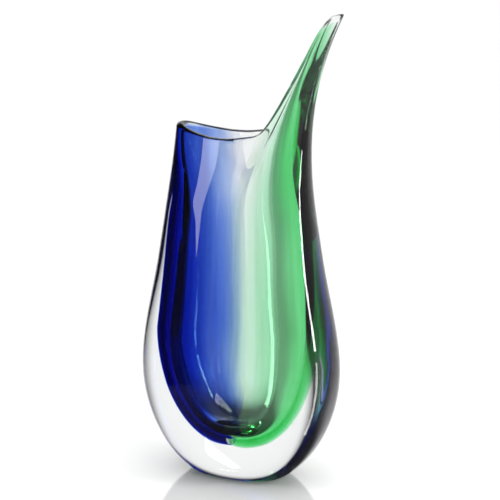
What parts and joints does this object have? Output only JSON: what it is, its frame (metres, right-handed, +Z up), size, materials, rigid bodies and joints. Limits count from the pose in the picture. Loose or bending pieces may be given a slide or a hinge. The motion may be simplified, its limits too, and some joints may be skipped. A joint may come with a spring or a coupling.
{
  "type": "cased glass vase",
  "caption": "Tall flattened cased glass vase, cobalt and green layers inside thick clear glass, one corner of the mouth pulled up into a solid tip.",
  "frame": {"origin": "centre of the flat ground base, on the table plane", "axes": "+Z up, +X towards the side with the pulled tip, -Y the front"},
  "size_m": [0.1592, 0.0954, 0.3577],
  "materials": {
    "clear_glass": "fire polished",
    "cobalt_glass": "fire polished",
    "green_glass": "fire polished"
  },
  "bodies": {
    "root": {"clear_casing": "clear_glass", "cobalt_layer": "cobalt_glass", "green_layer": "green_glass", "core_lining": "clear_glass"}
  },
  "joints": []
}
